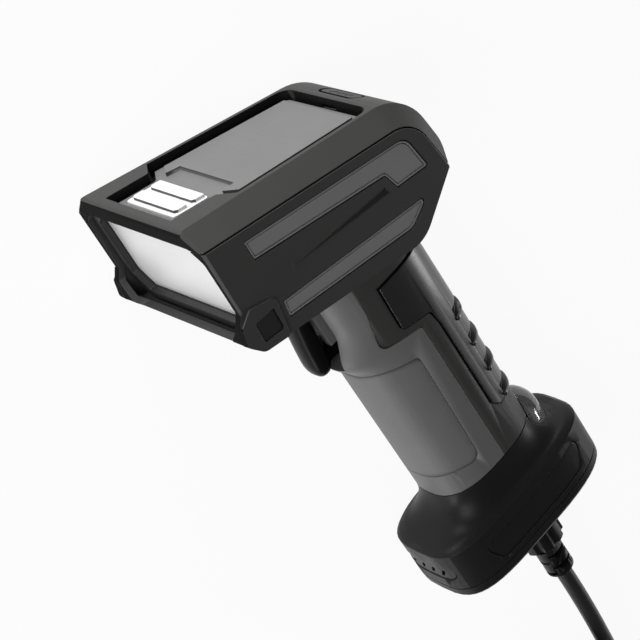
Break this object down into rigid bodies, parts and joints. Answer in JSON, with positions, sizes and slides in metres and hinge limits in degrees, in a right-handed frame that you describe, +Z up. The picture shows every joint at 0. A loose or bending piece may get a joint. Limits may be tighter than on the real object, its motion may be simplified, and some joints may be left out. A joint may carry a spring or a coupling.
{
  "type": "handheld barcode scanner",
  "caption": "Handheld industrial barcode scanner lying on its side: box head with a raked window, pistol grip with a sprung trigger, flared base and a coiled cable with plug.",
  "frame": {"origin": "centre of the footprint on the surface the scanner lies on, measured without the cable", "axes": "+Z up from the surface, out of the scanner's left side; +X towards the scan window; +Y from the head towards the base and cable"},
  "size_m": [0.1728, 0.3988, 0.0786],
  "materials": {
    "cover_plastic": "fine-grained moulded plastic",
    "housing_plastic": "fine-grained moulded plastic",
    "bezel_plastic": "black moulded plastic",
    "gasket_rubber": "black foam rubber",
    "window_glass": "polished clear window, light diffuser behind it",
    "panel_plastic": "satin grey panel",
    "light_plastic": "white light diffuser",
    "stripe_plastic": "satin grey insert",
    "frame_plastic": "satin black plastic",
    "grip_plastic": "satin grey plastic",
    "pad_rubber": "soft-touch grey rubber",
    "trigger_plastic": "glossy black plastic",
    "base_plastic": "satin black plastic",
    "strip_plastic": "black insert",
    "smoked_lens": "smoked clear plastic",
    "gland_plastic": "black nylon",
    "cable_rubber": "black cable jacket",
    "steel": "bare steel",
    "board": "solder mask over glass-fibre board",
    "lamp_plastic": "clear lamp lens"
  },
  "bodies": {
    "body": {"head_cover": "cover_plastic", "head_housing": "housing_plastic", "window_bezel": "bezel_plastic", "window_gasket": "gasket_rubber", "scan_window": "window_glass", "top_panel": "panel_plastic", "status_light": "light_plastic", "sounder_grille": "cover_plastic", "upper_stripe_left": "stripe_plastic", "upper_stripe_right": "stripe_plastic", "lower_stripe_left": "stripe_plastic", "lower_stripe_right": "stripe_plastic", "lug_pads": "bezel_plastic", "grip_frame": "frame_plastic", "grip_shell": "grip_plastic", "grip_pad": "pad_rubber", "back_spine": "frame_plastic", "trigger_pin": "steel", "trigger_spring": "steel", "trigger_switch": "bezel_plastic", "base_housing": "base_plastic", "base_plate": "base_plastic", "base_panel_left": "base_plastic", "base_panel_right": "base_plastic", "contact_strip": "strip_plastic", "rear_lens": "smoked_lens", "gland_nut": "gland_plastic", "strain_relief": "cable_rubber", "cable": "cable_rubber", "cable_coil": "cable_rubber", "cable_tail": "cable_rubber", "cable_tie": "gland_plastic", "plug_body": "cable_rubber", "plug_shell": "steel", "optics_frame": "bezel_plastic", "imager_board": "board", "lens_barrel": "bezel_plastic", "lamp_board": "board", "lamp_lenses": "lamp_plastic", "main_board": "board", "sounder": "bezel_plastic", "cable_socket": "light_plastic", "base_screws": "steel"},
    "trigger": {"trigger": "trigger_plastic", "trigger_lever": "grip_plastic"}
  },
  "joints": [
    {"name": "trigger_pull", "type": "hinge", "parent": "body", "child": "trigger", "pos_m": [0.02539, -0.06678, 0.03581], "axis": [-0.0734, 0.0714, 0.9947], "range_deg": [0, 6], "stiffness_Nm_per_rad": 0.6, "springref_deg": -9.74, "deforming": ["trigger_spring"]}
  ]
}
